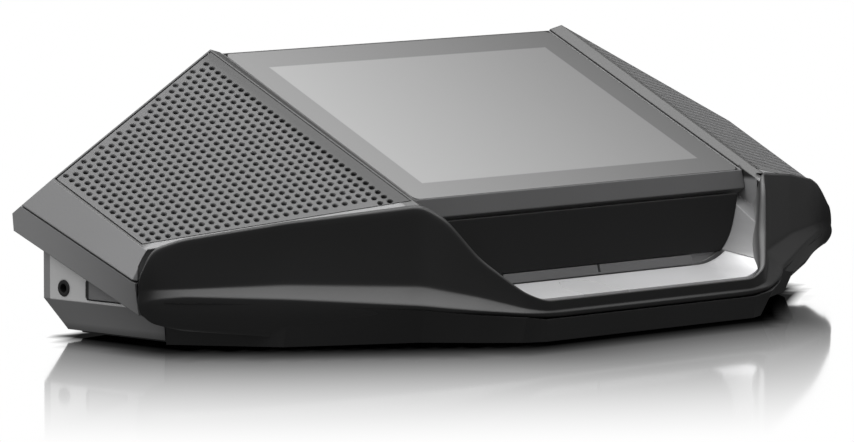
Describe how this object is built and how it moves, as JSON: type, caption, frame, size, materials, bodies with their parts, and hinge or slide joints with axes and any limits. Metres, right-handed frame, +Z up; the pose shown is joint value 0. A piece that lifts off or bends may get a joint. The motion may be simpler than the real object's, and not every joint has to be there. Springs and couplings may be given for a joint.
{
  "type": "tabletop conference discussion unit",
  "caption": "Wedge-shaped tabletop conference unit: a tilted touch screen between swept loudspeaker wings, with a wide dished talk key in a trough below the screen.",
  "frame": {"origin": "on the table, under the middle of the unit's box", "axes": "+X to the right as the user sees it, +Y from the user to the back, +Z up"},
  "size_m": [0.3862, 0.1678, 0.1055],
  "materials": {
    "grey_shell": "satin moulded shell",
    "black_shell": "satin moulded shell",
    "light_bar": "translucent light bar",
    "key_silver": "silver lacquer",
    "cover_glass": "clear cover glass",
    "display": "display module",
    "frame_grey": "satin frame",
    "grille_sheet": "perforated and painted sheet",
    "felt": "thin black felt",
    "foam": "closed-cell foam",
    "basket_metal": "black painted steel",
    "cone": "coated paper cone",
    "magnet": "bare magnet",
    "fasteners": "zinc plated",
    "rubber": "moulded rubber",
    "circuit_board": "solder mask",
    "tinned_can": "tinned sheet",
    "socket_black": "moulded socket body",
    "rocker_grey": "satin moulded cap"
  },
  "bodies": {
    "base": {"base_screws": "fasteners", "board_screws": "fasteners", "bottom_cover": "black_shell", "display_panel": "display", "fascia": "black_shell", "front_bumper": "black_shell", "key_board": "circuit_board", "key_switch": "socket_black", "left_dust_felt": "felt", "left_grille": "grille_sheet", "left_headphone_jack": "socket_black", "left_jack_board": "circuit_board", "left_network_socket": "socket_black", "left_rocker_pin": "fasteners", "left_speaker_basket": "basket_metal", "left_speaker_cone": "cone", "left_speaker_gasket": "foam", "left_speaker_magnet": "magnet", "left_volume_switches": "socket_black", "light_bar": "light_bar", "lower_housing": "grey_shell", "main_board": "circuit_board", "microphone_capsule": "tinned_can", "right_dust_felt": "felt", "right_grille": "grille_sheet", "right_headphone_jack": "socket_black", "right_jack_board": "circuit_board", "right_network_socket": "socket_black", "right_rocker_pin": "fasteners", "right_speaker_basket": "basket_metal", "right_speaker_cone": "cone", "right_speaker_gasket": "foam", "right_speaker_magnet": "magnet", "right_volume_switches": "socket_black", "rubber_feet": "rubber", "screen_frame": "frame_grey", "screen_screws": "fasteners", "shield_can": "tinned_can", "speaker_screws": "fasteners", "touch_glass": "cover_glass", "upper_housing": "grey_shell"},
    "talk_key": {"talk_key": "key_silver"},
    "left_volume_rocker": {"left_volume_rocker": "rocker_grey"},
    "right_volume_rocker": {"right_volume_rocker": "rocker_grey"}
  },
  "joints": [
    {"name": "talk_key_press", "type": "slide", "parent": "base", "child": "talk_key", "axis": [0, 0, -1], "range_m": [0, 0.001], "stiffness_N_per_m": 1500, "springref_m": -0.0008},
    {"name": "left_volume_tilt", "type": "hinge", "parent": "base", "child": "left_volume_rocker", "pos_m": [-0.1754, 0.029, 0.0209], "axis": [0, 0, 1], "range_deg": [-3.5, 3.5], "stiffness_Nm_per_rad": 0.15},
    {"name": "right_volume_tilt", "type": "hinge", "parent": "base", "child": "right_volume_rocker", "pos_m": [0.1754, 0.029, 0.0209], "axis": [0, 0, 1], "range_deg": [-3.5, 3.5], "stiffness_Nm_per_rad": 0.15}
  ]
}
